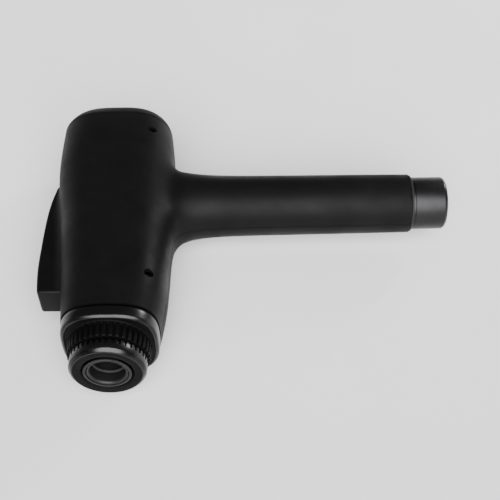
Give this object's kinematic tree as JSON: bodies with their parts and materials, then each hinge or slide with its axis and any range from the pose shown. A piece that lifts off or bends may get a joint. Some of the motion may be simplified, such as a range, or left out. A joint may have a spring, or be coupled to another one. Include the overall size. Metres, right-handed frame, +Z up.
{
  "type": "massage gun",
  "caption": "Pistol-shaped percussion massage gun with a push-fit head socket, a raised top spine and a cylindrical battery handle, lying on its side.",
  "frame": {"origin": "centre of the footprint, on the surface that the gun lies on", "axes": "+X down the handle to its foot, -Y along the barrel to the nose, +Z up through the gun's left side"},
  "size_m": [0.2506, 0.202, 0.062],
  "materials": {
    "casing": "fine matte, soft-touch black",
    "spine": "satin black",
    "collar": "satin gunmetal",
    "vent": "matte black, ribbed",
    "cap": "satin gunmetal",
    "steel": "ground",
    "casting": "die cast",
    "bronze": "sintered",
    "copper": "enamelled winding",
    "rubber": "matte",
    "circuit": "solder mask",
    "cell": "shrink sleeve",
    "button": "satin",
    "light": "frosted light guide",
    "inlet": "matte"
  },
  "bodies": {
    "casing": {"left_shell": "casing", "right_shell": "casing", "rear_cap": "casing", "case_screw_front": "steel", "case_screw_rear": "steel", "top_spine": "spine", "collar_ring": "collar", "vent_nose": "vent", "nose_ring": "collar", "wiper_seal": "rubber", "guide_bush": "bronze", "drive_frame": "casting", "front_damper": "rubber", "rear_damper": "rubber", "stator": "copper", "upper_bearing": "steel", "lower_bearing": "steel", "control_board": "circuit", "button_switch": "steel", "light_ring": "light", "battery_cell_1": "cell", "battery_cell_2": "cell", "battery_cradle": "inlet", "battery_board": "circuit", "harness": "rubber", "cap_seal": "rubber", "handle_cap": "cap", "dc_inlet": "inlet", "charge_light": "light", "switch_housing": "inlet"},
    "rotor": {"rotor_bell": "steel", "motor_shaft": "steel", "crank_wheel": "casting"},
    "piston": {"piston": "steel", "wrist_pin": "steel", "socket_sleeve": "inlet", "socket_o_ring": "rubber"},
    "rod": {"connecting_rod": "casting", "crank_pin": "steel", "big_end_bearing": "steel"},
    "button": {"power_button": "button"},
    "rocker": {"switch_rocker": "button"}
  },
  "joints": [
    {"name": "motor_spin", "type": "hinge", "parent": "casing", "child": "rotor", "pos_m": [-0.07915, 0.011, 0.031], "axis": [0, 0, 1], "continuous": true},
    {"name": "piston_stroke", "type": "slide", "parent": "casing", "child": "piston", "axis": [0, -1, 0], "range_m": [0, 0.012]},
    {"name": "rod_swing", "type": "hinge", "parent": "piston", "child": "rod", "pos_m": [-0.07915, -0.027, 0.031], "axis": [0, 0, 1], "range_deg": [-7.8, 7.8]},
    {"name": "power_button_press", "type": "slide", "parent": "casing", "child": "button", "axis": [0, -1, 0], "range_m": [0, 0.001], "stiffness_N_per_m": 400, "springref_m": -0.0005},
    {"name": "switch_rock", "type": "hinge", "parent": "casing", "child": "rocker", "pos_m": [0.12035, 0.0312, 0.031], "axis": [0, 1, 0], "range_deg": [0, 20]}
  ]
}
